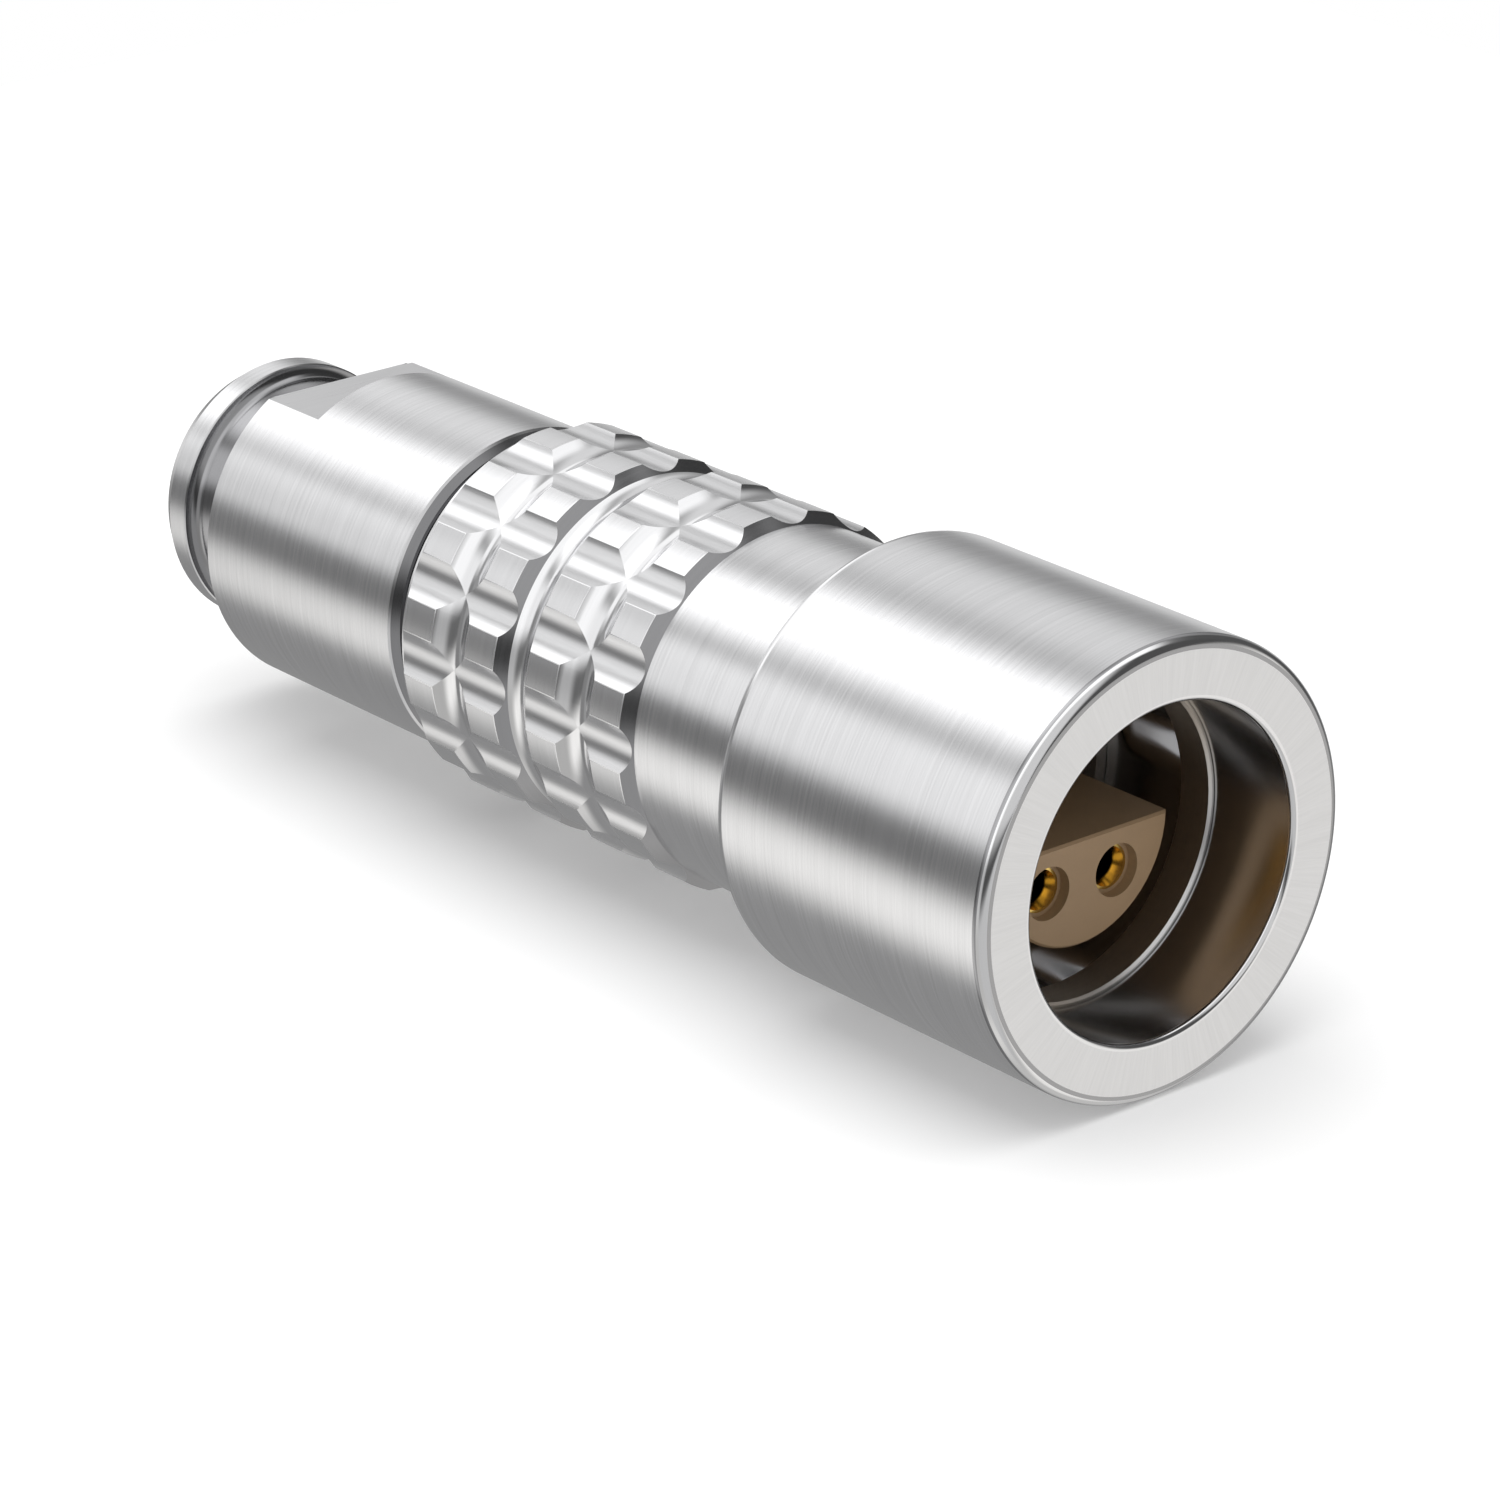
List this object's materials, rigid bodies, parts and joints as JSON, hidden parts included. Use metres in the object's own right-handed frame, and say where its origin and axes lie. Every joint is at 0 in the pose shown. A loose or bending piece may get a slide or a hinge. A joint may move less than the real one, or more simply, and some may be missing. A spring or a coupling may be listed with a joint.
{
  "type": "circular cable receptacle",
  "caption": "Round metal push-pull cable receptacle with fluted grip bands, a half-moon contact insert in its mouth, and a rear collet nut with spanner flats.",
  "frame": {"origin": "centre of the mating face, which is the lowest plane of the part", "axes": "+Z along the connector's axis from the mating face to the cable end, +Y to the open side of the half-moon insert, spanner flats facing +Y and -Y"},
  "size_m": [0.015, 0.015, 0.046],
  "materials": {
    "shell_metal": "turned and satin plated, with polished flutes",
    "nut_metal": "turned and satin plated",
    "ring_metal": "polished plating on spring bronze",
    "retainer_metal": "plain spring steel",
    "insulator_plastic": "machined brown thermoplastic",
    "carrier_metal": "nickel plated",
    "collet_metal": "nickel plated",
    "contact_gold": "gold plated",
    "clip_gold": "gold plated spring sleeve"
  },
  "bodies": {
    "shell": {"outer_shell": "shell_metal", "earthing_ring": "ring_metal", "retaining_ring": "retainer_metal", "insulator": "insulator_plastic", "insert_carrier_upper": "carrier_metal", "insert_carrier_lower": "carrier_metal", "socket_contact_left": "contact_gold", "socket_contact_right": "contact_gold", "contact_clip_left": "clip_gold", "contact_clip_right": "clip_gold"},
    "collet": {"collet": "collet_metal"},
    "nut": {"collet_nut": "nut_metal"}
  },
  "joints": [
    {"name": "collet_slide", "type": "slide", "parent": "shell", "child": "collet", "axis": [0, 0, 1], "range_m": [0, 0.0025]},
    {"name": "nut_turn", "type": "hinge", "parent": "collet", "child": "nut", "pos_m": [0, 0, 0.036], "axis": [0, 0, 1], "range_deg": [0, 1800]}
  ],
  "couplings": [
    {"joint": "collet_slide", "follows": "nut_turn", "m_per_rad": 0.000079577}
  ]
}
